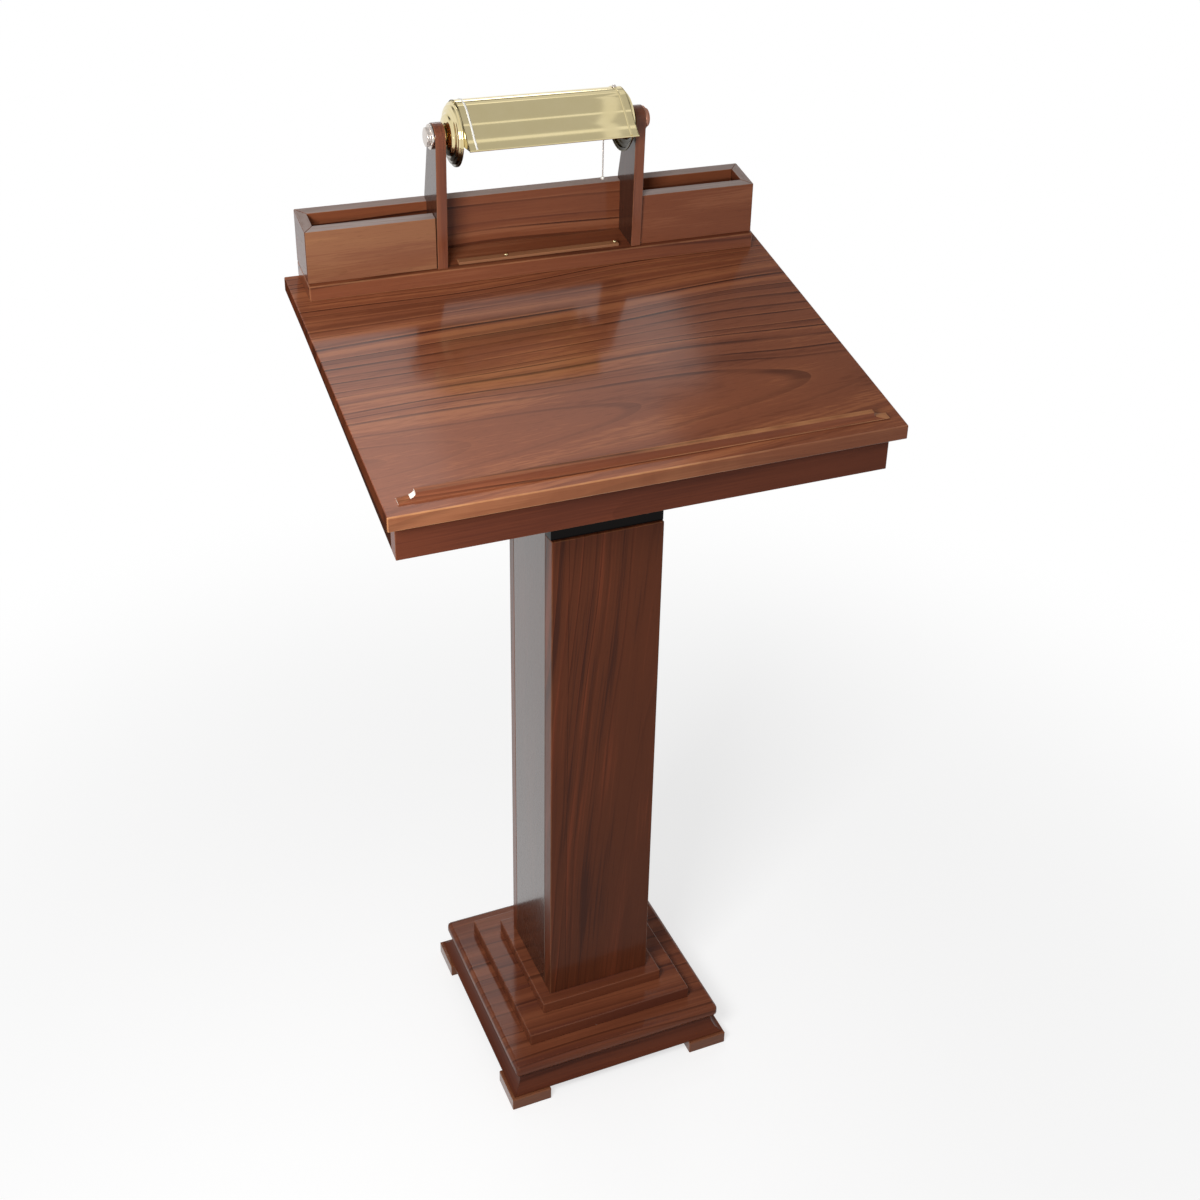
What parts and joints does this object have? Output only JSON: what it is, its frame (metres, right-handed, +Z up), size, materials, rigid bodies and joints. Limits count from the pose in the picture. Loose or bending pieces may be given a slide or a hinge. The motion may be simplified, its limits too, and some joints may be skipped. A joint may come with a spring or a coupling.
{
  "type": "lectern",
  "caption": "Standing lectern with a stepped base, square column, sloping desk with a book ledge, a pen tray and a tilting brass reading lamp with a pull chain.",
  "frame": {"origin": "on the floor, at the centre of the part's plan, under the column", "axes": "+Z up, -Y towards the reader, +X to the reader's right"},
  "size_m": [0.69, 0.4854, 1.449],
  "materials": {
    "mahogany": "clear gloss lacquer over reddish-brown stained hardwood",
    "black_lacquer": "black gloss lacquer",
    "softwood": "unfinished planed softwood",
    "brass": "polished and lacquered",
    "nickel": "polished nickel plate",
    "steel": "bright zinc plate",
    "frosted_glass": "frosted inside",
    "black_moulding": "moulded, fine matt",
    "white_plastic": "moulded gloss"
  },
  "bodies": {
    "frame": {"foot_front_left": "mahogany", "foot_front_right": "mahogany", "foot_back_left": "mahogany", "foot_back_right": "mahogany", "skirt_front": "mahogany", "skirt_back": "mahogany", "skirt_left": "mahogany", "skirt_right": "mahogany", "base_board": "mahogany", "middle_step": "mahogany", "top_step": "mahogany", "column_front": "mahogany", "column_back": "mahogany", "column_left": "mahogany", "column_right": "mahogany", "neck_panel": "black_lacquer", "column_foot_block": "softwood", "column_head_block": "softwood", "base_bolt_left": "steel", "base_bolt_right": "steel", "desk_bolt_left": "steel", "desk_bolt_right": "steel", "cord_grommet": "black_moulding", "desk_bearer": "softwood", "apron_front": "mahogany", "apron_back": "mahogany", "apron_left": "mahogany", "apron_right": "mahogany", "desk_top": "mahogany", "book_ledge": "mahogany", "tray_base": "mahogany", "tray_front_left": "mahogany", "tray_front_right": "mahogany", "tray_end_left": "mahogany", "tray_end_right": "mahogany", "tray_back": "mahogany", "pen_rail": "mahogany", "pen_rail_pin_left": "brass", "pen_rail_pin_right": "brass", "lamp_post_left": "mahogany", "lamp_post_right": "mahogany"},
    "lamp_head": {"lamp_shade": "brass", "shade_finial": "brass", "end_cup_left": "brass", "end_cup_right": "brass", "pivot_washer_left": "brass", "pivot_washer_right": "brass", "pivot_stud_left": "steel", "pivot_stud_right": "steel", "lamp_socket": "brass", "bulb_cap": "nickel", "bulb_glass": "frosted_glass", "pull_switch": "brass"},
    "knob_left": {"knob_left": "nickel"},
    "knob_right": {"knob_right": "nickel"},
    "chain_swivel": {"chain_eye": "brass"},
    "pull_chain": {"pull_chain": "nickel", "pull_bead": "white_plastic"}
  },
  "joints": [
    {"name": "lamp_tilt", "type": "hinge", "parent": "frame", "child": "lamp_head", "pos_m": [0, 0.1777, 1.40116], "axis": [1, 0, 0], "range_deg": [-50, 50]},
    {"name": "left_knob_turn", "type": "hinge", "parent": "lamp_head", "child": "knob_left", "pos_m": [-0.154, 0.1777, 1.40116], "axis": [-1, 0, 0], "range_deg": [0, 180]},
    {"name": "right_knob_turn", "type": "hinge", "parent": "lamp_head", "child": "knob_right", "pos_m": [0.154, 0.1777, 1.40116], "axis": [1, 0, 0], "range_deg": [0, 180]},
    {"name": "chain_swing", "type": "hinge", "parent": "lamp_head", "child": "chain_swivel", "pos_m": [0.094, 0.1777, 1.37456], "axis": [1, 0, 0], "range_deg": [-50, 50]},
    {"name": "chain_pull", "type": "slide", "parent": "chain_swivel", "child": "pull_chain", "axis": [0, 0, -1], "range_m": [0, 0.008], "stiffness_N_per_m": 150}
  ],
  "couplings": [
    {"joint": "chain_swing", "follows": "lamp_tilt", "ratio": -1}
  ]
}
